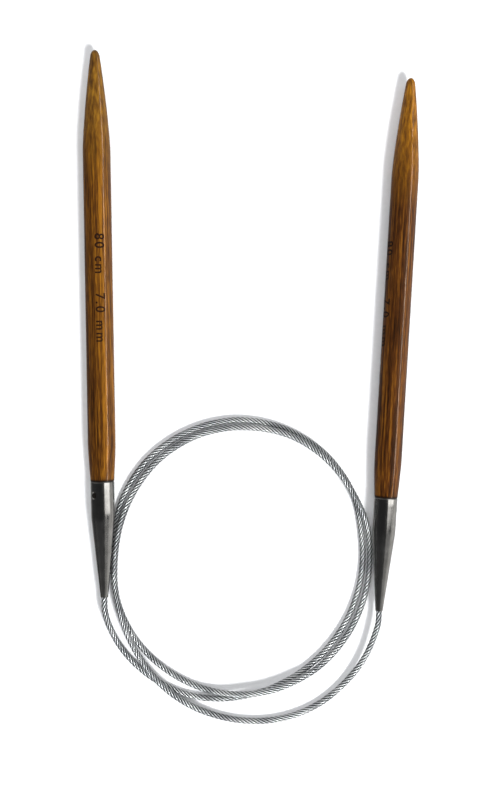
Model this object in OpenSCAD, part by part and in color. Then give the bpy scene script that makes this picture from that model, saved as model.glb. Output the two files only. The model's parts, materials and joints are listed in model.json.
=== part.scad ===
// Circular knitting needle: two bamboo needles, each glued into a tapered steel ferrule,
// joined by one long wire rope that lies coiled in two and a half turns.
// It lies on the plane Z = 0 and the needles point along +Y.

/* [Needles] */
// Diameter of the working part of each needle
needle_d = 7; // [6:0.5:8]
// Length of wood that shows, from the point to the ferrule
wood_len = 109.5; // [100:0.5:130]
// Length of the taper to the point
point_len = 26; // [20:1:32]
// Radius of the rounded point
nose_r = 1; // [0.8:0.1:1.2]
// Length over which the wood narrows down to the ferrule
tail_len = 9.5; // [6:0.5:14]
// Diameter of the tenon that is glued into the ferrule
tenon_d = 5; // [4.6:0.1:5]
// Length of the tenon
tenon_len = 8.5; // [6:0.5:8.5]

/* [Ferrules] */
// Diameter of the ferrule's straight part
ferrule_d = 6; // [6:0.1:6.4]
// Length of the whole ferrule, with the glue line at its rim
ferrule_len = 29.5; // [29:0.5:32]
// Length of the conical part
cone_len = 20.5; // [20:0.5:21]
// Thickness of the ferrule's sheet
sheet = 0.4; // [0.3:0.05:0.4]
// Diameter of the relief hole at the end of the slit
relief_d = 1.5; // [0.8:0.1:1.6]
// Width of the closed slit that runs from the relief hole to the mouth
slit_w = 0.12; // [0.08:0.02:0.2]
// Thickness of the glue line between wood and ferrule
glue_line = 0.2; // [0.1:0.05:0.3]

/* [Cable] */
// Diameter of the wire rope
cable_d = 1.6; // [1.4:0.1:1.6]
// Radial clearance of the cable in the ferrule's mouth
mouth_gap = 0.05; // [0.03:0.01:0.1]
// Outer diameter of the crimped stop on the cable's end
stop_d = 3.9; // [3.6:0.1:3.9]
// Number of sides of the cable's solid
cable_sides = 8; // [8:2:12]

/* [Layout] */
// Mouth of the left ferrule, across
left_x = -38; // [-38.2:0.1:-37.8]
// Mouth of the left ferrule, along
left_y = -67.1; // [-67.2:0.1:-67]
// Outward lean of the left needle
left_lean = 1; // [0.8:0.1:1.2]
// Turn of the left needle about its own axis
left_turn = 0; // [-180:5:180]
// Mouth of the right ferrule, across
right_x = 32.9; // [32.8:0.1:33]
// Mouth of the right ferrule, along
right_y = -71.8; // [-71.9:0.1:-71.7]
// Outward lean of the right needle
right_lean = 3.5; // [3.4:0.1:3.6]
// Turn of the right needle about its own axis
right_turn = -75; // [-180:5:180]

/* [Hidden] */
$fn = 64;
needle_r = needle_d / 2;
ferrule_r = ferrule_d / 2;
cable_r = cable_d / 2;
stop_r = stop_d / 2;
bore_r = ferrule_r - sheet;              // inside of the ferrule's straight part
mouth_bore_r = cable_r + mouth_gap;
mouth_wall = 0.1;                        // sheet left at the mouth, rolled thin
mouth_land = 1;                          // straight bore at the mouth
rim_round = 0.15;
joint_gap = 0.01;                        // keeps glue clear of wood and steel
glue_inset = 0.1;                        // the glue line lies a little below the surface
tenon_end = ferrule_len - tenon_len;     // measured from the mouth, as all these are
tip_at = ferrule_len + wood_len;
relief_at = ferrule_len - 3.5;
relief_side = 47;                        // the hole stands this far round from the size mark
stop_from = 12;
stop_to = 18.8;
stop_gap = 0.06;
cable_tail = 19.3;                       // how far the cable reaches into the ferrule
crimp_bite = 0.02;                       // the crimped stop grips the cable by this much
point_steps = 14;
point_power = 1.4;

// The flexing stretches of the cable, measured along it from each mouth
end_len = 17.5;
run_len = 32.5;
ring_pitch = 7.8;                        // the cable's solid has a ring of corners this often
curve_steps = 8;
tangent_reach = 0.5;
straight_out = 3;                        // the cable leaves each mouth straight for this far

// The middle of the coil, and the cable's way round it:
// [angle round the middle, distance from the middle, height of the cable's centre]
coil_middle = [-3.9, -60, 0];
coil_route = [
    [206, 36.0, 2.6], [214, 36.2, 1.5], [224, 36.1, 0.9], [236, 35.8, 0.8],
    [250, 35.4, 0.8], [262, 34.6, 0.8], [275, 33.7, 0.8], [290, 32.9, 0.8],
    [305, 32.4, 0.8], [320, 32.2, 0.8], [340, 32.4, 0.8], [360, 33.0, 0.8],
    [375, 33.8, 0.8], [390, 35.5, 0.8], [405, 36.6, 0.8], [420, 37.3, 0.8],
    [435, 37.7, 0.8], [450, 37.8, 0.8], [470, 37.1, 0.8], [490, 36.0, 0.8],
    [510, 34.3, 0.8], [525, 32.8, 0.8], [540, 32.1, 0.8], [560, 32.0, 0.8],
    [580, 32.1, 0.8], [600, 32.3, 0.8], [614, 32.7, 1.0], [624, 32.9, 1.7],
    [633, 33.0, 2.5], [645, 33.2, 2.7], [658, 33.4, 2.6], [670, 33.9, 1.8],
    [682, 34.2, 1.1], [700, 34.5, 0.8], [720, 34.9, 0.9], [729, 35.2, 1.3],
    [737, 35.4, 2.3], [748, 35.4, 2.7], [762, 35.8, 2.7], [776, 36.2, 2.7],
    [790, 36.4, 2.6], [802, 36.1, 1.9], [815, 35.8, 1.1], [830, 35.2, 0.8],
    [850, 34.0, 0.85], [862, 33.1, 1.2], [872, 32.5, 2.0], [882, 32.0, 2.6],
    [893, 31.6, 2.7], [906, 31.7, 2.7], [920, 32.2, 2.7], [932, 33.0, 2.7],
    [944, 34.2, 2.7], [956, 35.7, 2.7], [968, 37.2, 2.1], [980, 38.7, 1.2],
    [992, 40.1, 0.85], [1005, 41.4, 0.8], [1020, 42.1, 0.85], [1033, 41.8, 1.2],
    [1044, 41.1, 2.2], [1053, 40.1, 3.1]
];

// ---- The cable's route ----

left_mouth = [left_x, left_y, needle_r];
right_mouth = [right_x, right_y, needle_r];
left_way = [-sin(left_lean), cos(left_lean), 0];     // from the mouth towards the point
right_way = [sin(right_lean), cos(right_lean), 0];

function coil_point(p) = coil_middle + [p[1] * cos(p[0]), p[1] * sin(p[0]), p[2]];

route = concat(
    [left_mouth + cable_tail * left_way, left_mouth, left_mouth - straight_out * left_way],
    [for (p = coil_route) coil_point(p)],
    [right_mouth - straight_out * right_way, right_mouth, right_mouth + cable_tail * right_way]
);
last = len(route) - 1;
spans = [for (i = [0:last - 1]) norm(route[i + 1] - route[i])];
chords = [for (i = [0:last - 1]) (route[i + 1] - route[i]) / spans[i]];

// Direction of the smooth curve at each point: its neighbours' chords, the nearer one counting more
function knot_way(i) =
    i == 0 ? chords[0] :
    i == last ? chords[last - 1] :
    (chords[i] * spans[i - 1] + chords[i - 1] * spans[i]) / (spans[i - 1] + spans[i]);

function between(i, t) =
    let (a = route[i], b = route[i + 1], u = knot_way(i) * spans[i], v = knot_way(i + 1) * spans[i])
    a * (2 * t^3 - 3 * t^2 + 1) + u * (t^3 - 2 * t^2 + t) + b * (3 * t^2 - 2 * t^3) + v * (t^3 - t^2);

fine = concat(
    [for (i = [0:last - 1], k = [0:curve_steps - 1]) between(i, k / curve_steps)],
    [route[last]]
);
reach = [for (i = 0, s = 0; i < len(fine); s = s + (i + 1 < len(fine) ? norm(fine[i + 1] - fine[i]) : 0),
    i = i + 1) s];
cable_len = reach[len(reach) - 1];
by_x = [for (i = [0:len(fine) - 1]) [reach[i], fine[i][0]]];
by_y = [for (i = [0:len(fine) - 1]) [reach[i], fine[i][1]]];
by_z = [for (i = [0:len(fine) - 1]) [reach[i], fine[i][2]]];

// The point and the direction of the cable at a length s from its left end
function at(s) = [lookup(s, by_x), lookup(s, by_y), lookup(s, by_z)];
function way(s) =
    let (d = at(min(s + tangent_reach, cable_len)) - at(max(s - tangent_reach, 0)))
    d / norm(d);

function ring(s) =
    let (t = way(s), side = cross([0, 0, 1], t) / norm(cross([0, 0, 1], t)), up = cross(t, side))
    [for (k = [0:cable_sides - 1])
        let (a = 360 * (k + 0.5) / cable_sides)
        at(s) + cable_r * (cos(a) * side + sin(a) * up)];

// One solid stretch of the cable between two lengths along it
module stretch(from, to) {
    count = max(2, round((to - from) / ring_pitch));
    corners = [for (i = [0:count]) each ring(from + (to - from) * i / count)];
    n = cable_sides;
    walls = [for (i = [0:count - 1], k = [0:n - 1])
        let (a = i * n + k, b = i * n + (k + 1) % n)
        each [[a, a + n, b + n], [a, b + n, b]]];
    caps = [[for (k = [0:n - 1]) k], [for (k = [n - 1:-1:0]) count * n + k]];
    color("silver") polyhedron(points = corners, faces = concat(walls, caps), convexity = 6);
}

left_end_at = cable_tail + end_len;
left_run_at = left_end_at + run_len;
right_end_at = cable_len - left_end_at;
right_run_at = cable_len - left_run_at;

// ---- The pieces of one needle, standing on the mouth and pointing along +Z ----

function cone_bore(s) =
    mouth_bore_r + (bore_r - mouth_bore_r) * (s - mouth_land) / (cone_len - mouth_land);

function point_r(t) = needle_r - (needle_r - nose_r) * pow(1 - t / point_len, point_power);

// Bamboo shaft: rounded point, long taper, straight part, short taper and tenon
module shaft() {
    nose = [for (a = [0:15:75]) [nose_r * sin(a), tip_at - nose_r * (1 - cos(a))]];
    taper = [for (i = [1:point_steps])
        let (t = nose_r + (point_len - nose_r) * i / point_steps) [point_r(t), tip_at - t]];
    color("peru") rotate_extrude() polygon(concat(
        nose, taper,
        [[needle_r, ferrule_len + tail_len], [ferrule_r, ferrule_len],
         [tenon_d / 2, ferrule_len], [tenon_d / 2, tenon_end], [0, tenon_end]]
    ));
}

// Cured glue: a sleeve round the tenon and the dark line at the ferrule's rim
module glue_ring() {
    color("saddlebrown") rotate_extrude() polygon([
        [tenon_d / 2 + joint_gap, tenon_end],
        [bore_r - joint_gap, tenon_end],
        [bore_r - joint_gap, ferrule_len - glue_line],
        [ferrule_r - glue_inset, ferrule_len - glue_line],
        [ferrule_r - glue_inset, ferrule_len],
        [tenon_d / 2 + joint_gap, ferrule_len]
    ]);
}

// Steel ferrule: a tube closed to a cone, with its slit and the slit's relief hole
module ferrule_shell() {
    rim = ferrule_len - glue_line;
    color("dimgray") difference() {
        rotate_extrude() polygon([
            [mouth_bore_r, 0],
            [mouth_bore_r + mouth_wall, 0],
            [ferrule_r, cone_len],
            [ferrule_r, rim - rim_round],
            [ferrule_r - rim_round, rim],
            [bore_r, rim],
            [bore_r, cone_len],
            [mouth_bore_r, mouth_land]
        ]);
        rotate([0, 0, -90 - relief_side]) {
            translate([0, 0, relief_at]) rotate([0, 90, 0])
                cylinder(d = relief_d, h = ferrule_d);
            translate([0, -slit_w / 2, -1]) cube([ferrule_d, slit_w, relief_at + 1]);
        }
    }
}

// Stop crimped on the cable's end, which bears on the inside of the cone
module crimp_stop() {
    color("darkgoldenrod") rotate_extrude() polygon([
        [cable_r - crimp_bite, stop_from],
        [cone_bore(stop_from) - stop_gap, stop_from],
        [stop_r, stop_from + (stop_r + stop_gap - cone_bore(stop_from)) * (cone_len - mouth_land)
            / (bore_r - mouth_bore_r)],
        [stop_r, stop_to],
        [cable_r - crimp_bite, stop_to]
    ]);
}

module on_left() {
    translate(left_mouth) rotate([0, 0, left_lean]) rotate([-90, 0, 0]) rotate([0, 0, left_turn])
        children();
}

module on_right() {
    translate(right_mouth) rotate([0, 0, -right_lean]) rotate([-90, 0, 0]) rotate([0, 0, right_turn])
        children();
}

// ---- Nodes ----

module cable_loop() { stretch(left_run_at, right_run_at); }
module left_cable_run() { stretch(left_end_at, left_run_at); }
module left_cable_end() { stretch(0, left_end_at); }
module left_cable_stop() { on_left() crimp_stop(); }
module left_ferrule() { on_left() ferrule_shell(); }
module left_glue_line() { on_left() glue_ring(); }
module left_shaft() { on_left() shaft(); }
module right_cable_run() { stretch(right_run_at, right_end_at); }
module right_cable_end() { stretch(right_end_at, cable_len); }
module right_cable_stop() { on_right() crimp_stop(); }
module right_ferrule() { on_right() ferrule_shell(); }
module right_glue_line() { on_right() glue_ring(); }
module right_shaft() { on_right() shaft(); }

cable_loop();
left_cable_run();
left_cable_end();
left_cable_stop();
left_ferrule();
left_glue_line();
left_shaft();
right_cable_run();
right_cable_end();
right_cable_stop();
right_ferrule();
right_glue_line();
right_shaft();
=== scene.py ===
import json
import math

import bpy
import numpy as np
from mathutils import Matrix, Vector


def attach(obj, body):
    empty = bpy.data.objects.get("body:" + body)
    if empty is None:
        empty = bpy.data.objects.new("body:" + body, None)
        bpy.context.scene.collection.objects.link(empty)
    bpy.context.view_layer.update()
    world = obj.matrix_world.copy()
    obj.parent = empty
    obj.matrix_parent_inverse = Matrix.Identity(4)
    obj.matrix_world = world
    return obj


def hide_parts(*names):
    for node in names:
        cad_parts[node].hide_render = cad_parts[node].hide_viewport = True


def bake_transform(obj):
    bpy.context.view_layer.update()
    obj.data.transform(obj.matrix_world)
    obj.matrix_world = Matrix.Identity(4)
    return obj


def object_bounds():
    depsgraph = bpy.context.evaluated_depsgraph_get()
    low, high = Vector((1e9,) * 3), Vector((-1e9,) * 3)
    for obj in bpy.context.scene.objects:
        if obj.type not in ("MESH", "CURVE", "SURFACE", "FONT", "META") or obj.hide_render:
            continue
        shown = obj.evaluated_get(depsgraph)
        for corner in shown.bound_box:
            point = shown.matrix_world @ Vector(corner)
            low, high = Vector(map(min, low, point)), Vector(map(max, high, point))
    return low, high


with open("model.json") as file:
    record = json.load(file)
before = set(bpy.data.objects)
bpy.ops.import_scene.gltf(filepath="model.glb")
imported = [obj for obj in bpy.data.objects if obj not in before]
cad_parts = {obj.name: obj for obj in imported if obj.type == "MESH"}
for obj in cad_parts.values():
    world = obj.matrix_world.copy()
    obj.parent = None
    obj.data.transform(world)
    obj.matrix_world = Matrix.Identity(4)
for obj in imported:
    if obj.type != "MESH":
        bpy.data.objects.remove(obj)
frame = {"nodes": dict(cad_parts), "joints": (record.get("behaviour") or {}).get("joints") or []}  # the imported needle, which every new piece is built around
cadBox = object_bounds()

print("frame loaded:", len(frame["nodes"]), "nodes")

boxLow, boxHigh = cadBox
boxMiddle = (boxLow + boxHigh) / 2
joints = {joint["name"]: joint for joint in frame["joints"]}

view = {
    "aim": Vector((-0.0030, -0.0021, 0)),   # from the middle of the part, on the table
    "distance": 0.3,
    "tilt": math.radians(5.5),              # the camera stands a little to the left
    "tableShown": 0.2072,                   # height of the table that fills the frame
    "sensor": 36,
}


def makeCamera():
    tilt = view["tilt"]
    target = Vector((boxMiddle.x, boxMiddle.y, boxLow.z)) + view["aim"]
    back = Vector((-math.sin(tilt), 0, math.cos(tilt)))
    bpy.ops.object.camera_add(location=target + back * view["distance"], rotation=(0, -tilt, 0))
    camera = bpy.context.object
    camera.name = "camera"
    camera.data.sensor_width = view["sensor"]
    camera.data.lens = view["sensor"] * view["distance"] / view["tableShown"]
    camera.data.clip_start = 0.01
    camera.data.clip_end = 20
    bpy.context.scene.camera = camera


makeCamera()


def linear(hexColour):
    # an sRGB hex colour as linear RGBA
    channels = [int(hexColour[i:i + 2], 16) / 255 for i in (0, 2, 4)]
    return tuple(c / 12.92 if c <= 0.04045 else ((c + 0.055) / 1.055) ** 2.4 for c in channels) + (1,)


def addNode(tree, kind, settings=None, links=None):
    # adds one node, sets its inputs or properties, and links its inputs
    node = tree.nodes.new(kind)
    for name, value in (settings or {}).items():
        if name == "stops":
            ramp = node.color_ramp
            while len(ramp.elements) < len(value):
                ramp.elements.new(0.5)
            for element, (place, colour) in zip(ramp.elements, value):
                element.position = place
                element.color = linear(colour)
        elif isinstance(name, int) or name in node.inputs:
            node.inputs[name].default_value = value
        else:
            setattr(node, name, value)
    for name, source in (links or {}).items():
        tree.links.new(source, node.inputs[name])
    return node


def addNoise(tree, place, scale, detail, **settings):
    # a soft noise over the given places, around 0.5
    noise = addNode(tree, "ShaderNodeTexNoise", {"Scale": scale, "Detail": detail, **settings},
                    {"Vector": place})
    return noise.outputs["Fac"]


def addRamp(tree, value, stops):
    # colours for a value, each stop (value, colour)
    return addNode(tree, "ShaderNodeValToRGB", {"stops": stops}, {"Fac": value}).outputs["Color"]


def addRange(tree, value, old=(0, 1), new=(0, 1)):
    # the value carried over from its old range to a new one
    mapRange = addNode(tree, "ShaderNodeMapRange",
                       {"From Min": old[0], "From Max": old[1], "To Min": new[0], "To Max": new[1]},
                       {"Value": value})
    return mapRange.outputs["Result"]


def onObject(tree):
    # the place on the object, in metres
    return addNode(tree, "ShaderNodeTexCoord").outputs["Object"]


def stretched(tree, place, scale, shift=(0, 0, 0)):
    # a place counted in pattern widths along each axis
    mapping = addNode(tree, "ShaderNodeMapping", {"Location": shift, "Scale": scale}, {"Vector": place})
    return mapping.outputs[0]


def newMaterial(name):
    material = bpy.data.materials.new(name)
    material.use_nodes = True
    material.node_tree.nodes.clear()
    return material, material.node_tree


def closeMaterial(tree, shader):
    addNode(tree, "ShaderNodeOutputMaterial", links={"Surface": shader.outputs[0]})


def onlySelect(piece):
    bpy.ops.object.select_all(action="DESELECT")
    piece.select_set(True)
    bpy.context.view_layer.objects.active = piece


def smooth(piece, degrees=30):
    onlySelect(piece)
    bpy.ops.object.shade_smooth_by_angle(angle=math.radians(degrees))


mergeBelow = 0.000002        # corners nearer than this become one

rope = {
    "diameter": 0.0016,
    "tail": 0.0193,          # length inside each ferrule
    "straightOut": 0.003,    # it leaves each mouth straight for this far
    "endLen": 0.0175,        # the stretch that bends upwards, from the mouth
    "runLen": 0.0325,        # the stretch after it, which bends sideways
    "bendFrom": 0.001,       # the upwards bend starts this far out of the mouth
    "bendInto": 0.02,        # the sideways bend reaches this far into the run
    "strands": 6,
    "lay": 0.0072,           # length of one whole turn of a strand
    "strandRadius": 0.000246,
    "coreRadius": 0.00031,
    "coreDepth": 0.55,       # the core counts as this far out, so that the painted shade keeps it dark
    "sides": 8,
    "ringPitch": 0.0004,
    "wires": 6,              # outer wires of each strand
    "wireLay": 0.003,
    "middle": Vector((-0.0039, -0.06, 0)),
    "pathPitch": 0.001,      # between the points of a stretch's path
    "pathPoints": 12,        # the fewest that a path may have
}

# the rope's way round the middle of the coil: angle in degrees, distance, height
coilRoute = [
    (206, 0.0360, 0.0026), (214, 0.0362, 0.0015), (224, 0.0361, 0.0009), (236, 0.0358, 0.0008),
    (250, 0.0354, 0.0008), (262, 0.0346, 0.0008), (275, 0.0337, 0.0008), (290, 0.0329, 0.0008),
    (305, 0.0324, 0.0008), (320, 0.0322, 0.0008), (340, 0.0324, 0.0008), (360, 0.0330, 0.0008),
    (375, 0.0338, 0.0008), (390, 0.0355, 0.0008), (405, 0.0366, 0.0008), (420, 0.0373, 0.0008),
    (435, 0.0377, 0.0008), (450, 0.0378, 0.0008), (470, 0.0371, 0.0008), (490, 0.0360, 0.0008),
    (510, 0.0343, 0.0008), (525, 0.0328, 0.0008), (540, 0.0321, 0.0008), (560, 0.0320, 0.0008),
    (580, 0.0321, 0.0008), (600, 0.0323, 0.0008), (614, 0.0327, 0.0010), (624, 0.0329, 0.0017),
    (633, 0.0330, 0.0025), (645, 0.0332, 0.0027), (658, 0.0334, 0.0026), (670, 0.0339, 0.0018),
    (682, 0.0342, 0.0011), (700, 0.0345, 0.0008), (720, 0.0349, 0.0009), (729, 0.0352, 0.0013),
    (737, 0.0354, 0.0023), (748, 0.0354, 0.0027), (762, 0.0358, 0.0027), (776, 0.0362, 0.0027),
    (790, 0.0364, 0.0026), (802, 0.0361, 0.0019), (815, 0.0358, 0.0011), (830, 0.0352, 0.0008),
    (850, 0.0340, 0.00085), (862, 0.0331, 0.0012), (872, 0.0325, 0.0020), (882, 0.0320, 0.0026),
    (893, 0.0316, 0.0027), (906, 0.0317, 0.0027), (920, 0.0322, 0.0027), (932, 0.0330, 0.0027),
    (944, 0.0342, 0.0027), (956, 0.0357, 0.0027), (968, 0.0372, 0.0021), (980, 0.0387, 0.0012),
    (992, 0.0401, 0.00085), (1005, 0.0414, 0.0008), (1020, 0.0421, 0.00085), (1033, 0.0418, 0.0012),
    (1044, 0.0411, 0.0022), (1053, 0.0401, 0.0031),
]


def ropeRoute():
    points = []
    for name in ("left_turn", "right_turn"):
        mouth = Vector(joints[name]["pos_m"])
        way = Vector(joints[name]["axis"])
        points.append([mouth + way * rope["tail"], mouth, mouth - way * rope["straightOut"]])
    coil = []
    for angle, distance, height in coilRoute:
        turn = math.radians(angle)
        coil.append(rope["middle"] + Vector((distance * math.cos(turn), distance * math.sin(turn), height)))
    return np.array([list(p) for p in points[0] + coil + points[1][::-1]])


def smoothLine(points, steps=16):
    # one smooth curve through the route's points
    chords = np.diff(points, axis=0)
    spans = np.linalg.norm(chords, axis=1)
    chords = chords / spans[:, None]
    ways = [chords[0]]
    for i in range(1, len(points) - 1):
        ways.append((chords[i] * spans[i - 1] + chords[i - 1] * spans[i]) / (spans[i - 1] + spans[i]))
    ways.append(chords[-1])
    line = []
    for i, span in enumerate(spans):
        for step in range(steps):
            t = step / steps
            line.append(
                points[i] * (2 * t**3 - 3 * t**2 + 1) + ways[i] * span * (t**3 - 2 * t**2 + t)
                + points[i + 1] * (3 * t**2 - 2 * t**3) + ways[i + 1] * span * (t**3 - t**2)
            )
    line.append(points[-1])
    return np.array(line)


ropeLine = smoothLine(ropeRoute())
ropeReach = np.concatenate([[0], np.cumsum(np.linalg.norm(np.diff(ropeLine, axis=0), axis=1))])
ropeLength = float(ropeReach[-1])


def ropeAt(s):
    # the rope's centre at each of the lengths s from its left end
    return np.stack([np.interp(s, ropeReach, ropeLine[:, axis]) for axis in range(3)], axis=-1)


def ropeFrame(s, reach=0.0005):
    # direction along the rope, sideways and upwards, at each of the lengths s
    along = ropeAt(np.minimum(s + reach, ropeLength)) - ropeAt(np.maximum(s - reach, 0))
    along /= np.linalg.norm(along, axis=1)[:, None]
    side = np.cross(np.array([0, 0, 1.0]), along)
    side /= np.linalg.norm(side, axis=1)[:, None]
    return along, side, np.cross(along, side)


def tubeRings(centre, along, outwards, radius, sides):
    # rings of corners round a line, the first corner of each one facing outwards
    across = np.cross(along, outwards)
    across /= np.linalg.norm(across, axis=1)[:, None]
    turns = 2 * math.pi * np.arange(sides) / sides
    return (
        centre[:, None] + radius * np.cos(turns)[None, :, None] * outwards[:, None]
        + radius * np.sin(turns)[None, :, None] * across[:, None]
    )


def ropePiece(name, start, finish):
    # the strands and the core of one stretch of the rope, each one a closed tube
    corners, faces, wiring, crown = [], [], [], []
    sides = rope["sides"]
    # how far each line of corners faces out of the rope, 1 on a strand's outer side and 0 on its inside: it
    # sets how much painted shade the material puts there
    facing = [(1 + math.cos(2 * math.pi * k / sides)) / 2 for k in range(sides)]
    for strand in range(rope["strands"] + 1):
        isCore = strand == rope["strands"]
        pitch = rope["ringPitch"] * (2 if isCore else 1)
        s = np.linspace(start, finish, max(2, round((finish - start) / pitch)) + 1)
        centre = ropeAt(s)
        along, side, up = ropeFrame(s)
        if isCore:
            outwards, radius = side, rope["coreRadius"]
        else:
            helix = rope["diameter"] / 2 - rope["strandRadius"]
            turn = 2 * math.pi * (s / rope["lay"] + strand / rope["strands"])[:, None]
            outwards, radius = np.cos(turn) * side + np.sin(turn) * up, rope["strandRadius"]
            centre = centre + helix * outwards
            along = along + 2 * math.pi * helix / rope["lay"] * (np.cos(turn) * up - np.sin(turn) * side)
            along /= np.linalg.norm(along, axis=1)[:, None]
        first = len(corners)
        corners.extend(tubeRings(centre, along, outwards, radius, sides).reshape(-1, 3))
        for i in range(len(s) - 1):
            for k in range(sides):
                low, high = first + i * sides, first + (i + 1) * sides
                faces.append((low + k, low + (k + 1) % sides, high + (k + 1) % sides, high + k))
                # across the face this counts the strand's wires, which turn the other way
                wire = [-s[i] / rope["wireLay"], -s[i + 1] / rope["wireLay"]]
                left, right = rope["wires"] * k / sides, rope["wires"] * (k + 1) / sides
                wiring.extend([
                    (left + wire[0], s[i]), (right + wire[0], s[i]),
                    (right + wire[1], s[i + 1]), (left + wire[1], s[i + 1]),
                ])
                # the core faces out less, so that it gets more of the painted shade
                inner = rope["coreDepth"] if isCore else 1
                near, far = facing[k] * inner, facing[(k + 1) % sides] * inner
                crown.extend([(near, 0), (far, 0), (far, 0), (near, 0)])
        last = first + (len(s) - 1) * sides
        faces.append(tuple(first + k for k in range(sides - 1, -1, -1)))
        faces.append(tuple(last + k for k in range(sides)))
        wiring.extend([(0, 0)] * (2 * sides))
        crown.extend([(1, 0)] * (2 * sides))
    mesh = bpy.data.meshes.new(name)
    mesh.from_pydata([tuple(c) for c in corners], [], faces)
    for layer, values in (("wiring", wiring), ("crown", crown)):
        mesh.uv_layers.new(name=layer).data.foreach_set("uv", np.array(values, np.float32).ravel())
    mesh.update()
    piece = bpy.data.objects.new(name, mesh)
    bpy.context.scene.collection.objects.link(piece)
    smooth(piece, 60)        # round the strands, but not over their cut ends
    return piece


def steelRope():
    # stainless steel wire rope, drawn and laid: bright wires with a soft shine, and painted shade in the gaps
    # between them
    material, tree = newMaterial("stainlessWireRope")
    place = onObject(tree)
    # wires 0.16 mm wide: one wave for each of them
    wiring = addNode(tree, "ShaderNodeUVMap", {"uv_map": "wiring"})
    wires = stretched(tree, wiring.outputs["UV"], (math.pi / 10, 0, 0))
    wave = addNode(tree, "ShaderNodeTexWave", {"Scale": 1.0, "Distortion": 0.0}, {"Vector": wires})
    # drawing marks and handling dirt, 0.4 mm and 6 mm across
    marks = addNoise(tree, place, 2500, 2)
    dirt = addNoise(tree, place, 160, 1)
    shade = addNode(tree, "ShaderNodeMath", {"operation": "MULTIPLY_ADD", 1: 0.5}, {0: marks, 2: dirt})
    colour = addRamp(tree, shade.outputs[0], [(0.45, "888a8d"), (0.72, "adb0b1"), (0.95, "cdcfcf")])
    # painted shade darkens the gaps between the strands, where some old grease sits too
    crown = addNode(tree, "ShaderNodeUVMap", {"uv_map": "crown"})
    outwards = addNode(tree, "ShaderNodeSeparateXYZ", links={"Vector": crown.outputs["UV"]})
    paintedGapShade = addRamp(tree, outwards.outputs["X"], [(0.68, "2c2e30"), (0.80, "acaeb0"), (0.90, "ffffff")])
    shaded = addNode(tree, "ShaderNodeMix", {"data_type": "RGBA", "blend_type": "MULTIPLY", 0: 1.0},
                     {6: colour, 7: paintedGapShade})
    bump = addNode(tree, "ShaderNodeBump", {"Strength": 0.5, "Distance": 0.00003},
                   {"Height": wave.outputs["Fac"]})
    steel = addNode(tree, "ShaderNodeBsdfPrincipled", {"Metallic": 1.0},
                    {"Base Color": shaded.outputs[2], "Roughness": addRange(tree, marks, new=(0.38, 0.56)),
                     "Normal": bump.outputs["Normal"]})
    closeMaterial(tree, steel)
    return material


def fromEnd(hand, s):
    # turns a length from this hand's end of the rope into the length from the left end
    return s if hand == "left" else ropeLength - s


def makeRope():
    # gives each stretch as (piece, start and finish of its path, exit), in lengths from the left end
    steel = steelRope()
    endCut = rope["tail"] + rope["endLen"]
    runCut = endCut + rope["runLen"]
    loop = ropePiece("cableLoop", runCut, ropeLength - runCut)
    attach(loop, "cable")
    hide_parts("cable_loop")
    stretches = {"cableLoop": (loop, runCut, ropeLength - runCut, runCut)}
    for hand in ("left", "right"):
        atEnd, atMouth = fromEnd(hand, 0), fromEnd(hand, rope["tail"])
        atEndCut, atRunCut = fromEnd(hand, endCut), fromEnd(hand, runCut)
        end = ropePiece(hand + "CableEnd", *sorted((atEnd, atEndCut)))
        run = ropePiece(hand + "CableRun", *sorted((atEndCut, atRunCut)))
        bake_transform(run)
        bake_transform(end)
        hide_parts(hand + "_cable_run")
        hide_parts(hand + "_cable_end")
        stretches[run.name] = (run, atEndCut, atRunCut, atEndCut)
        stretches[end.name] = (end, atEnd, atEndCut, atMouth)
    for piece, *_ in stretches.values():
        piece.data.materials.append(steel)
    return stretches


ropeStretches = makeRope()
print("rope laid:", round(ropeLength * 1000, 1), "mm long")

# a needle is modelled standing on its ferrule's mouth, with the point up and its size mark facing -Y,
# and is then laid on the table; "turn" is its turn about its own axis
needles = {
    "left": {"turn": 0, "markFromPoint": 0.0470},
    "right": {"turn": math.radians(-75), "markFromPoint": 0.0430},
}


def placeOf(hand):
    joint = joints[hand + "_turn"]
    lean = math.atan2(-joint["axis"][0], joint["axis"][1])
    lay = Matrix.Rotation(lean, 4, "Z") @ Matrix.Rotation(-math.pi / 2, 4, "X")
    return Matrix.Translation(joint["pos_m"]) @ lay @ Matrix.Rotation(needles[hand]["turn"], 4, "Z")


def onNeedle(tree, hand):
    # the place on the needle's own axes, in mm from the ferrule's mouth
    place = placeOf(hand)
    own = addNode(tree, "ShaderNodeMapping",
                  {"vector_type": "TEXTURE", "Location": place.translation, "Rotation": place.to_euler(),
                   "Scale": (0.001, 0.001, 0.001)}, {"Vector": onObject(tree)})
    return own.outputs[0]


def layDown(piece, hand):
    # moves a finished piece from the bench to its place, in its mesh
    onlySelect(piece)
    piece.matrix_world = placeOf(hand)
    bpy.ops.object.transform_apply(location=True, rotation=True, scale=True)


def drawRing(radius, height, sides, filled):
    # the first ring of a turned piece, on the bench
    bpy.ops.object.select_all(action="DESELECT")
    bpy.ops.mesh.primitive_circle_add(vertices=sides, radius=radius,
                                      fill_type="NGON" if filled else "NOTHING")
    bpy.ops.object.mode_set(mode="EDIT")
    bpy.ops.mesh.select_all(action="SELECT")
    bpy.ops.transform.translate(value=(0, 0, height))


def pullRing(old, new):
    # draws the selected ring out to the next point of the outline, each one (radius, height)
    bpy.ops.mesh.extrude_region_move(TRANSFORM_OT_translate={"value": (0, 0, new[1] - old[1])})
    share = new[0] / old[0]
    bpy.ops.transform.resize(value=(share, share, 1), center_override=(0, 0, new[1]))


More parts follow.
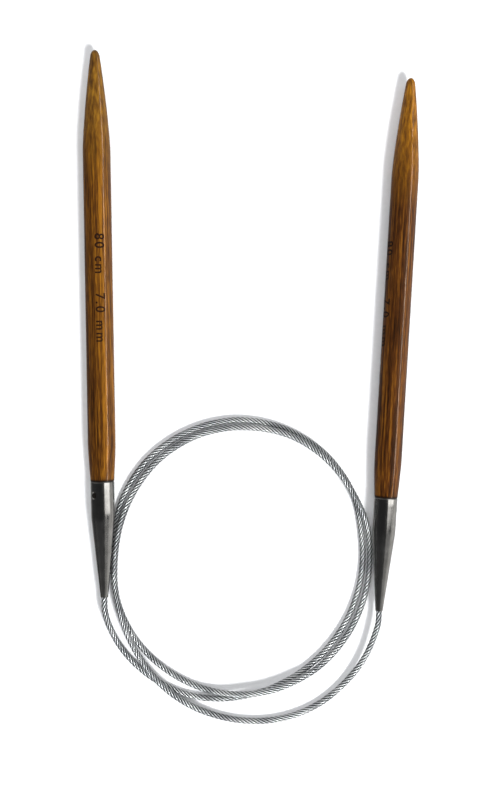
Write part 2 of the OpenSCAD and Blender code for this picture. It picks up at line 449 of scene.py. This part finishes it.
def turnPiece(name, outline, sides, solid):
    # a solid piece starts from a cap and closes to its point; a hollow one's outline ends where it began
    drawRing(outline[0][0], outline[0][1], sides, solid)
    for old, new in zip(outline, outline[1:]):
        pullRing(old, new)
    bpy.ops.mesh.select_all(action="SELECT")
    bpy.ops.mesh.remove_doubles(threshold=mergeBelow)
    bpy.ops.mesh.normals_make_consistent(inside=False)
    bpy.ops.object.mode_set(mode="OBJECT")
    piece = bpy.context.object
    piece.name = name
    piece.data.name = name
    return piece


def applyModifier(piece, kind, **settings):
    onlySelect(piece)
    modifier = piece.modifiers.new(kind.lower(), kind)
    for name, value in settings.items():
        setattr(modifier, name, value)
    bpy.ops.object.modifier_apply(modifier=modifier.name)


def arcOutline(middle, radius, start, finish, steps):
    # points (radius, height) on an arc of an outline; angles in degrees from straight out to straight up
    points = []
    for step in range(steps + 1):
        angle = math.radians(start + (finish - start) * step / steps)
        points.append((middle[0] + radius * math.cos(angle), middle[1] + radius * math.sin(angle)))
    return points


shaftSize = {
    "radius": 0.0035,
    "rimRadius": 0.003,      # where the wood meets the ferrule
    "rimRound": 0.00012,
    "ferruleLen": 0.0295,
    "woodLen": 0.1095,
    "tailLen": 0.0095,
    "tailPower": 1.25,       # above 1, it swells quickly at first and then eases out
    "pointLen": 0.026,
    "pointPower": 1.4,       # above 1, the point's sides bulge
    "pointCrowding": 1.6,    # above 1, its rings crowd towards the nose
    "noseRadius": 0.001,
    "noseLen": 0.0016,
    "noseEnd": 0.00002,      # radius of the last ring
    "tenonRadius": 0.0025,
    "tenonLen": 0.0085,
    "tenonBevel": 0.0003,
    "sides": 96,
    "ringPitch": 0.002,
    "tailRings": 8,
    "pointRings": 30,
}


def shaftOutline():
    size = shaftSize
    foot, tip = size["ferruleLen"], size["ferruleLen"] + size["woodLen"]
    tenonFoot = foot - size["tenonLen"]
    outline = [(size["tenonRadius"] - size["tenonBevel"], tenonFoot),
               (size["tenonRadius"], tenonFoot + size["tenonBevel"]),
               (size["tenonRadius"], foot)]
    outline += arcOutline((size["rimRadius"] - size["rimRound"], foot + size["rimRound"]),
                          size["rimRound"], -90, 0, 4)
    # eased taper up to full thickness, then straight
    for step in range(1, size["tailRings"] + 1):
        t = step / size["tailRings"]
        grown = 1 - (1 - t) ** size["tailPower"]
        outline.append((size["rimRadius"] + (size["radius"] - size["rimRadius"]) * grown,
                        foot + size["rimRound"] + (size["tailLen"] - size["rimRound"]) * t))
    start, straightTo = outline[-1][1], tip - size["pointLen"]
    rings = round((straightTo - start) / size["ringPitch"])
    outline += [(size["radius"], start + (straightTo - start) * i / rings) for i in range(1, rings + 1)]
    # the point: a long curved taper that runs into a small round nose
    for step in range(1, size["pointRings"] + 1):
        left = size["pointLen"] * (1 - step / size["pointRings"]) ** size["pointCrowding"]
        lost = (1 - left / size["pointLen"]) ** size["pointPower"]
        radius = size["radius"] - (size["radius"] - size["noseRadius"]) * lost
        if left < size["noseLen"]:
            radius *= math.sqrt(1 - (1 - left / size["noseLen"]) ** 2)
        outline.append((max(radius, size["noseEnd"]), tip - left))
    return outline


bambooLook = {
    # from the dark of the fibres to the pale of the pith; the seed moves the grain
    "left": {"colours": ["1e0f03", "432508", "5f3a0b", "855612"], "tip": ["3a2208", "61400f", "8a611a"],
             "seed": 0.0},
    "right": {"colours": ["180a03", "2f1806", "472609", "704612"], "tip": ["462805", "74490a", "9c6812"],
              "seed": 47.0},
    # in mm from the ferrule's mouth
    "tipFrom": 104,
    "tipFull": 126,
    "soakedFull": 29.7,      # glue has soaked into the last of the wood
    "soakedTo": 30.2,
}


def bamboo(hand):
    # carbonised bamboo, turned, sanded and lacquered: long dark and golden fibres under a thin gloss coat
    look = bambooLook[hand]
    seed = look["seed"]
    material, tree = newMaterial(hand + "CarbonisedBamboo")
    own = onNeedle(tree, hand)
    # strips 1.2 mm wide, fibres 0.4 mm wide and fine ones 0.2 mm wide, all much longer than wide
    strips = addNoise(tree, stretched(tree, own, (0.8, 0.8, 0.008), (seed, 0, 0)), 1.0, 1.0)
    fibres = addNoise(tree, stretched(tree, own, (2.4, 2.4, 0.06), (0, seed, 0)), 1.0, 2.0)
    fine = addNoise(tree, stretched(tree, own, (5, 5, 0.35), (0, 0, seed)), 1.0, 2.0)
    coarse = addNode(tree, "ShaderNodeMath", {"operation": "MULTIPLY_ADD", 1: 1.5}, {0: fibres, 2: strips})
    grain = addNode(tree, "ShaderNodeMath", {"operation": "ADD"}, {0: fine, 1: coarse.outputs[0]})
    body = addRamp(tree, addRange(tree, grain.outputs[0], old=(1.25, 2.25)),
                   list(zip((0.05, 0.36, 0.62, 0.95), look["colours"])))
    # where the taper cuts across the fibres they show as short flecks, 0.5 mm wide
    flecks = addNoise(tree, stretched(tree, own, (1.9, 1.9, 0.3), (seed, 3, 0)), 1.0, 3.0, Roughness=0.6)
    tip = addRamp(tree, addRange(tree, flecks, old=(0.25, 0.75)), list(zip((0.1, 0.5, 0.9), look["tip"])))
    along = addNode(tree, "ShaderNodeSeparateXYZ", links={"Vector": own}).outputs["Z"]
    atTip = addRange(tree, along, old=(bambooLook["tipFrom"], bambooLook["tipFull"]))
    varied = addNode(tree, "ShaderNodeMix", {"data_type": "RGBA"}, {0: atTip, 6: body, 7: tip})
    soaked = addRange(tree, along, old=(bambooLook["soakedTo"], bambooLook["soakedFull"]))
    colour = addNode(tree, "ShaderNodeMix", {"data_type": "RGBA", 7: linear("140a04")},
                     {0: soaked, 6: varied.outputs[2]})
    bump = addNode(tree, "ShaderNodeBump", {"Strength": 0.5, "Distance": 0.00006},
                   {"Height": grain.outputs[0]})
    # the lacquer fills the grain almost level
    ripple = addNode(tree, "ShaderNodeBump", {"Strength": 0.22, "Distance": 0.00006}, {"Height": fine})
    wood = addNode(tree, "ShaderNodeBsdfPrincipled",
                   {"IOR": 1.45, "Specular IOR Level": 0.1, "Coat Weight": 0.22, "Coat Roughness": 0.09,
                    "Coat IOR": 1.5},
                   {"Base Color": colour.outputs[2], "Roughness": addRange(tree, fine, new=(0.4, 0.6)),
                    "Normal": bump.outputs["Normal"], "Coat Normal": ripple.outputs["Normal"]})
    closeMaterial(tree, wood)
    return material


markLook = {
    "text": "80 cm   7.0 mm",
    "letterSize": 0.0033,
    "spacing": 1.3,
    "bolder": 0.00005,
    "aside": 0.00025,        # the line of text stands this far off the middle
    "stripWidth": 0.0003,
    "thickness": 0.00003,
    "raise": 0.000012,
    "clearance": 0.001,      # it is projected onto the wood from this far above it
    "reach": 0.004,          # and no further down than this
}


def charredWood():
    # letters burnt into the wood with a laser: matt, almost black, uneven at the edges of the fibres
    material, tree = newMaterial("laserCharredWood")
    burn = addNoise(tree, onObject(tree), 2200, 2)
    colour = addRamp(tree, burn, [(0.35, "120a05"), (0.6, "22120a"), (0.8, "3a2110")])
    char = addNode(tree, "ShaderNodeBsdfPrincipled", {"Roughness": 0.75, "Specular IOR Level": 0.1},
                   {"Base Color": colour})
    closeMaterial(tree, char)
    return material


def makeMark(hand, shaft):
    size = shaftSize
    tip = size["ferruleLen"] + size["woodLen"]
    start = tip - needles[hand]["markFromPoint"]
    bpy.ops.object.select_all(action="DESELECT")
    bpy.ops.object.text_add()
    mark = bpy.context.object
    mark.data.body = markLook["text"]
    mark.data.size = markLook["letterSize"]
    mark.data.space_character = markLook["spacing"]
    mark.data.offset = markLook["bolder"]
    mark.data.align_y = "CENTER"
    bpy.ops.object.convert(target="MESH")
    mark.name = hand + "SizeMark"
    mark.data.name = mark.name
    # cut into narrow strips, so that it can follow the round wood
    bpy.ops.object.mode_set(mode="EDIT")
    strips = round(markLook["letterSize"] / markLook["stripWidth"])
    for strip in range(-strips // 2, strips // 2 + 1):
        bpy.ops.mesh.select_all(action="SELECT")
        bpy.ops.mesh.bisect(plane_co=(0, strip * markLook["stripWidth"], 0), plane_no=(0, 1, 0))
    bpy.ops.object.mode_set(mode="OBJECT")
    # it reads from the point towards the ferrule, and faces -Y
    turned = Matrix(((0, 1, 0, 0), (0, 0, -1, 0), (-1, 0, 0, 0), (0, 0, 0, 1)))
    above = (markLook["aside"], -size["radius"] - markLook["clearance"], start)
    mark.matrix_world = Matrix.Translation(above) @ turned
    onlySelect(mark)
    bpy.ops.object.transform_apply(location=True, rotation=True, scale=True)
    applyModifier(mark, "SHRINKWRAP", target=shaft, wrap_method="PROJECT", use_project_y=True,
                  use_negative_direction=True, use_positive_direction=True, offset=markLook["raise"],
                  project_limit=markLook["reach"])
    applyModifier(mark, "SOLIDIFY", thickness=markLook["thickness"], offset=0)
    return mark


ferruleSize = {
    "radius": 0.003,
    "len": 0.0293,
    "coneLen": 0.0205,
    "sheet": 0.0004,
    "mouthBore": 0.00085,
    "mouthWall": 0.0001,
    "mouthLand": 0.001,
    "mouthBevel": 0.00003,
    "rimRound": 0.00015,
    "kinkRound": 0.0025,     # the cone runs into the straight part over this length
    "coneRings": 12,
    "kinkRings": 6,
    "straightRings": 4,
    "holeAt": 0.0260,
    "holeRadius": 0.00075,
    "holeBreak": 0.0002,     # its rim is broken this much
    "holeSides": 40,
    "holeSide": math.radians(-137),   # round from +X, on the bench
    "slitWidth": 0.00012,
    "sides": 128,
}


def ferruleOutline():
    size = ferruleSize
    bore = size["radius"] - size["sheet"]
    mouthOuter = size["mouthBore"] + size["mouthWall"]
    slope = (size["radius"] - mouthOuter) / size["coneLen"]
    outline = [(size["mouthBore"], 0), (mouthOuter - size["mouthBevel"], 0), (mouthOuter, size["mouthBevel"])]
    coneEnd = size["coneLen"] - size["kinkRound"] / 2
    for i in range(1, size["coneRings"] + 1):
        height = coneEnd * i / size["coneRings"]
        outline.append((mouthOuter + slope * height, height))
    # a parabola, tangent to the cone and to the straight part
    for step in range(1, size["kinkRings"] + 1):
        t = step / size["kinkRings"]
        outline.append((mouthOuter + slope * (coneEnd + size["kinkRound"] * (t - t * t / 2)),
                        coneEnd + size["kinkRound"] * t))
    start, straightTo = outline[-1][1], size["len"] - size["rimRound"]
    outline += [(size["radius"], start + (straightTo - start) * i / size["straightRings"])
                for i in range(1, size["straightRings"])]
    outline += arcOutline((size["radius"] - size["rimRound"], straightTo), size["rimRound"], 0, 90, 5)
    outline += [(bore, size["len"]), (bore, size["coneLen"]), (size["mouthBore"], size["mouthLand"]),
                (size["mouthBore"], 0)]
    return outline


def addDrill():
    # through one wall only, at the height of the relief hole
    size = ferruleSize
    length = 0.004
    bpy.ops.object.select_all(action="DESELECT")
    bpy.ops.mesh.primitive_cylinder_add(vertices=size["holeSides"], radius=size["holeRadius"],
                                        depth=length, location=(size["radius"], 0, size["holeAt"]),
                                        rotation=(0, math.pi / 2, 0))
    return bpy.context.object


def addCountersink():
    # a cone that breaks the hole's rim, a little longer than the break at both ends
    size = ferruleSize
    extra = 0.0001
    bpy.ops.mesh.primitive_cone_add(vertices=size["holeSides"], radius1=size["holeRadius"] - extra,
                                    radius2=size["holeRadius"] + size["holeBreak"] + extra,
                                    depth=size["holeBreak"] + 2 * extra, rotation=(0, math.pi / 2, 0),
                                    location=(size["radius"] - size["holeBreak"] / 2, 0, size["holeAt"]))
    return bpy.context.object


def addSaw():
    # the closed slit, from the relief hole down past the mouth and from the middle to well outside
    size = ferruleSize
    below, deep = 0.001, 0.005
    bpy.ops.mesh.primitive_cube_add(size=1, location=(deep / 2, 0, (size["holeAt"] - below) / 2),
                                    scale=(deep, size["slitWidth"], size["holeAt"] + below))
    return bpy.context.object


def makeFerrule(hand):
    size = ferruleSize
    ferrule = turnPiece(hand + "Ferrule", ferruleOutline(), size["sides"], False)
    # the hole and the slit are cut with their side turned to +X
    ferrule.rotation_euler = (0, 0, -size["holeSide"])
    onlySelect(ferrule)
    bpy.ops.object.transform_apply(rotation=True)
    for tool in (addDrill(), addCountersink(), addSaw()):
        applyModifier(ferrule, "BOOLEAN", object=tool, operation="DIFFERENCE", solver="EXACT")
        bpy.data.objects.remove(tool)
    onlySelect(ferrule)
    bpy.ops.object.mode_set(mode="EDIT")
    bpy.ops.mesh.select_all(action="SELECT")
    bpy.ops.mesh.remove_doubles(threshold=mergeBelow)
    bpy.ops.object.mode_set(mode="OBJECT")
    ferrule.rotation_euler = (0, 0, size["holeSide"])
    bpy.ops.object.transform_apply(rotation=True)
    return ferrule


def blackNickel(hand):
    # steel sheet, rolled, polished and nickel plated: a dark mirror with faint lengthwise polishing lines
    material, tree = newMaterial(hand + "PolishedNickelSteel")
    own = onNeedle(tree, hand)
    # polishing lines 0.1 mm apart would be too fine to show, so they are drawn 0.25 mm apart
    lines = addNoise(tree, stretched(tree, own, (4, 4, 0.12)), 1.0, 2.0)
    haze = addNoise(tree, own, 0.35, 2.0)
    bump = addNode(tree, "ShaderNodeBump", {"Strength": 0.25, "Distance": 0.00002}, {"Height": lines})
    steel = addNode(tree, "ShaderNodeBsdfPrincipled", {"Metallic": 1.0},
                    {"Base Color": addRamp(tree, haze, [(0.3, "8b8985"), (0.7, "a09e9a")]),
                     "Roughness": addRange(tree, lines, old=(0.3, 0.7), new=(0.13, 0.24)),
                     "Normal": bump.outputs["Normal"]})
    closeMaterial(tree, steel)
    return material


glueSize = {
    "inner": 0.00251,
    "sleeve": 0.00259,       # outer radius inside the ferrule
    "outer": 0.0029,         # and between the ferrule's rim and the wood
    "bead": 0.00294,         # where it swells, halfway between them
    "tenonFoot": 0.021,
    "rim": 0.0293,
    "foot": 0.0295,
    "sides": 96,
}


def makeGlue(hand):
    size = glueSize
    outline = [(size["inner"], size["tenonFoot"]), (size["sleeve"], size["tenonFoot"]),
               (size["sleeve"], size["rim"]), (size["outer"], size["rim"]),
               (size["bead"], (size["rim"] + size["foot"]) / 2),
               (size["outer"], size["foot"]), (size["inner"], size["foot"]),
               (size["inner"], size["tenonFoot"])]
    return turnPiece(hand + "GlueLine", outline, size["sides"], False)


def curedGlue():
    # squeezed-out glue that cured dark in the joint: a thin glossy brown line
    material, tree = newMaterial("curedWoodGlue")
    blots = addNoise(tree, onObject(tree), 900, 2)
    glue = addNode(tree, "ShaderNodeBsdfPrincipled", {"Roughness": 0.35, "IOR": 1.5},
                   {"Base Color": addRamp(tree, blots, [(0.35, "0a0604"), (0.7, "190f08")])})
    closeMaterial(tree, glue)
    return material


stopSize = {
    "from": 0.012,
    "to": 0.0188,
    "bore": 0.0008,
    "radius": 0.00195,
    "bevel": 0.0002,
    "coneGap": 0.00006,      # between the stop's taper and the inside of the ferrule's cone
    "barrelRings": 5,
    "sides": 36,
    "crimps": 6,
    "crimpDepth": 0.00018,
    "crimpFrom": 0.0005,     # from the shoulder
    "crimpTo": 0.0008,       # from the far end
}


def makeStop(hand):
    # a brass sleeve, tapered to bear on the inside of the cone and squeezed on with a six-sided die
    size = stopSize
    ferrule = ferruleSize
    widening = (ferrule["radius"] - ferrule["sheet"] - ferrule["mouthBore"]) / (
        ferrule["coneLen"] - ferrule["mouthLand"])
    foot = ferrule["mouthBore"] + widening * (size["from"] - ferrule["mouthLand"]) - size["coneGap"]
    shoulder = size["from"] + (size["radius"] - foot) / widening
    barrelTo = size["to"] - size["bevel"]
    outline = [(size["bore"], size["from"]), (foot, size["from"]), (size["radius"], shoulder)]
    outline += [(size["radius"], shoulder + (barrelTo - shoulder) * i / size["barrelRings"])
                for i in range(1, size["barrelRings"] + 1)]
    outline += [(size["radius"] - size["bevel"], size["to"]), (size["bore"], size["to"]),
                (size["bore"], size["from"])]
    stop = turnPiece(hand + "CableStop", outline, size["sides"], False)
    onlySelect(stop)
    bpy.ops.object.mode_set(mode="EDIT")
    bpy.ops.mesh.select_mode(type="VERT")
    bpy.ops.mesh.select_all(action="DESELECT")
    bpy.ops.object.mode_set(mode="OBJECT")
    # press in half of the lines of corners on the barrel, three at a time, between its two ends
    linesPerCrimp = size["sides"] // size["crimps"]
    for corner in stop.data.vertices:
        inBarrel = shoulder + size["crimpFrom"] < corner.co.z < size["to"] - size["crimpTo"]
        outside = math.hypot(corner.co.x, corner.co.y) > 0.98 * size["radius"]
        line = round(math.degrees(math.atan2(corner.co.y, corner.co.x)) / (360 / size["sides"]))
        corner.select = inBarrel and outside and line % linesPerCrimp < linesPerCrimp // 2
    bpy.ops.object.mode_set(mode="EDIT")
    share = 1 - size["crimpDepth"] / size["radius"]
    bpy.ops.transform.resize(value=(share, share, 1), center_override=(0, 0, 0))
    bpy.ops.object.mode_set(mode="OBJECT")
    return stop


def crimpedBrass():
    # yellow brass, turned and crimped, never polished: a dull warm metal, unevenly tarnished
    material, tree = newMaterial("turnedBrass")
    tarnish = addNoise(tree, onObject(tree), 700, 3)
    brass = addNode(tree, "ShaderNodeBsdfPrincipled", {"Metallic": 1.0},
                    {"Base Color": addRamp(tree, tarnish, [(0.3, "8f6f34"), (0.7, "c9a659")]),
                     "Roughness": addRange(tree, tarnish, new=(0.3, 0.5))})
    closeMaterial(tree, brass)
    return material


# the pieces that a lamp with an "only" may light; the glue and the stops go with the ferrules
lit = {kind: bpy.data.collections.new(kind) for kind in ("wood", "ferrules", "rope")}
for piece, *_ in ropeStretches.values():
    lit["rope"].objects.link(piece)


def finishPiece(piece, hand, body, material, slot, node=None, angle=30):
    layDown(piece, hand)
    smooth(piece, angle)
    piece.data.materials.clear()
    piece.data.materials.append(material)
    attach(piece, body)
    if node:
        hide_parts(node)
    lit["wood" if slot == "bamboo" else "ferrules"].objects.link(piece)


charred = charredWood()
glue = curedGlue()
brass = crimpedBrass()
for hand in ("left", "right"):
    needle = hand + "_needle"
    shaft = turnPiece(hand + "Shaft", shaftOutline(), shaftSize["sides"], True)
    mark = makeMark(hand, shaft)
    finishPiece(shaft, hand, needle, bamboo(hand), "bamboo", hand + "_shaft")
    finishPiece(mark, hand, needle, charred, "bamboo")
    finishPiece(makeFerrule(hand), hand, needle, blackNickel(hand), "ferrule_steel", hand + "_ferrule", 20)
    finishPiece(makeGlue(hand), hand, needle, glue, "glue", hand + "_glue_line")
    finishPiece(makeStop(hand), hand, hand + "_end", brass, "brass_stop", hand + "_cable_stop")
    print(hand, "needle made")

for name, (piece, start, finish, exitAt) in ropeStretches.items():
    hand = name.replace("CableEnd", "")

studio = {
    "table": 6.0,
    "tableDrop": 0.00002,    # keeps the paper from sharing a plane with what lies on it
    "lamps": {
        # the key lamp throws the short shadow up and to the left; the fill sets how pale that shadow is
        "key": {"azimuth": -60, "rise": 51, "away": 2.4, "size": (0.48, 0.48), "power": 67, "glossy": False},
        "fill": {"azimuth": 125, "rise": 60, "away": 3.6, "size": (4.2, 4.2), "power": 95, "glossy": False},
        # bright panels that only show as reflections in the ferrules
        "softbox": {"azimuth": 0, "rise": 45, "away": 0.6, "size": (0.94, 0.65), "power": 6.0,
                    "diffuse": False, "aim": (0, 0.36, 0), "only": "ferrules"},
        "softboxLow": {"azimuth": 0, "rise": 45, "away": 0.6, "size": (0.4, 0.65), "power": 0.27,
                       "diffuse": False, "aim": (0, -0.38, 0), "only": "ferrules"},
        # a wide one overhead and a small one that do the same for the rope
        "overhead": {"azimuth": 150, "rise": 70, "away": 0.9, "size": (3.0, 3.0), "power": 30.0,
                     "diffuse": False, "only": "rope"},
        "glint": {"azimuth": -60, "rise": 50, "away": 0.8, "size": (0.16, 0.16), "power": 6.0,
                  "diffuse": False, "only": "rope"},
        # the wood's own light: one from the right, and a narrow one that draws the line of gloss
        "side": {"azimuth": -10, "rise": 23, "away": 0.7, "size": (0.5, 0.2), "power": 3.4,
                 "glossy": False, "only": "wood"},
        "strip": {"azimuth": 0, "rise": 39, "away": 0.52, "size": (0.8, 0.045), "power": 5.0,
                  "diffuse": False, "only": "wood", "colour": (1.0, 0.72, 0.52)},
    },
}


def makeTable():
    bpy.ops.object.select_all(action="DESELECT")
    bpy.ops.mesh.primitive_plane_add(size=studio["table"], location=(0, 0, boxLow.z - studio["tableDrop"]))
    table = bpy.context.object
    table.name = "table"
    # white paper: even and matt, with barely visible fibres
    material, tree = newMaterial("whitePaper")
    fibres = addNoise(tree, onObject(tree), 900, 2)
    paper = addNode(tree, "ShaderNodeBsdfPrincipled", {"Roughness": 0.9, "Specular IOR Level": 0.2},
                    {"Base Color": addRamp(tree, fibres, [(0.3, "f1f2f4"), (0.7, "f5f6f8")])})
    closeMaterial(tree, paper)
    table.data.materials.append(material)
    # metal reflects the studio below the horizon instead of the paper
    table.visible_glossy = False


def addLamp(name, azimuth, rise, away, size, power, glossy=True, diffuse=True, aim=(0, 0, 0), only=None,
            colour=(1, 1, 1)):
    # a rectangular lamp; azimuth is counted from +X towards +Y, rise is above the table
    turn, up = math.radians(azimuth), math.radians(rise)
    place = Vector((math.cos(turn) * math.cos(up), math.sin(turn) * math.cos(up), math.sin(up)))
    bpy.ops.object.light_add(type="AREA", location=Vector(aim) + place * away)
    lamp = bpy.context.object
    lamp.name = name
    lamp.rotation_euler = place.to_track_quat("Z", "Y").to_euler()
    lamp.data.shape = "RECTANGLE"
    lamp.data.size, lamp.data.size_y = size
    lamp.data.energy = power
    lamp.data.color = colour
    lamp.visible_camera = False
    lamp.visible_glossy = glossy
    lamp.visible_diffuse = diffuse
    if only:
        lamp.light_linking.receiver_collection = lit[only]


def makeWorld():
    world = bpy.data.worlds.new("studio")
    world.use_nodes = True
    tree = world.node_tree
    tree.nodes.clear()
    sky = addNode(tree, "ShaderNodeTexCoord")
    way = addNode(tree, "ShaderNodeSeparateXYZ", links={"Vector": sky.outputs["Generated"]})
    # greys from straight below to straight above: dark on the left, bright low down on the right
    height = addRange(tree, way.outputs["Z"], old=(-1, 1))
    left = addRamp(tree, height, [(0.0, "b4b4b6"), (0.12, "9a9a9c"), (0.25, "4a4b4d"), (0.6, "464749"),
                                  (0.7, "3a3b3d")])
    right = addRamp(tree, height, [(0.0, "b4b4b6"), (0.25, "e2e2e2"), (0.5, "ffffff"), (0.62, "d8d8d8"),
                                   (0.75, "3a3b3d")])
    sides = addNode(tree, "ShaderNodeMix", {"data_type": "RGBA"},
                    {0: addRange(tree, way.outputs["X"], old=(-0.12, 0.12)), 6: left, 7: right})
    # pale towards both ends, which the needles' long sides do not reflect
    ends = addRamp(tree, height, [(0.0, "c8c8ca"), (0.5, "e8e8e8"), (0.8, "8a8b8d")])
    lengthwise = addNode(tree, "ShaderNodeMath", {"operation": "ABSOLUTE"}, {0: way.outputs["Y"]})
    around = addNode(tree, "ShaderNodeMix", {"data_type": "RGBA"},
                     {0: addRange(tree, lengthwise.outputs[0], old=(0.28, 0.5)),
                      6: sides.outputs[2], 7: ends})
    glow = addNode(tree, "ShaderNodeBackground", {"Strength": 1.1}, {"Color": around.outputs[2]})
    # seen directly, the background is as white as the paper
    backdrop = addNode(tree, "ShaderNodeBackground", {"Color": (1, 1, 1, 1), "Strength": 1.1})
    ray = addNode(tree, "ShaderNodeLightPath")
    seen = addNode(tree, "ShaderNodeMixShader",
                   links={0: ray.outputs["Is Camera Ray"], 1: glow.outputs[0], 2: backdrop.outputs[0]})
    addNode(tree, "ShaderNodeOutputWorld", links={"Surface": seen.outputs[0]})
    bpy.context.scene.world = world


makeTable()
for name, lamp in studio["lamps"].items():
    addLamp(name, **lamp)
makeWorld()
bpy.context.scene.view_settings.view_transform = "Standard"
print("table and light set")
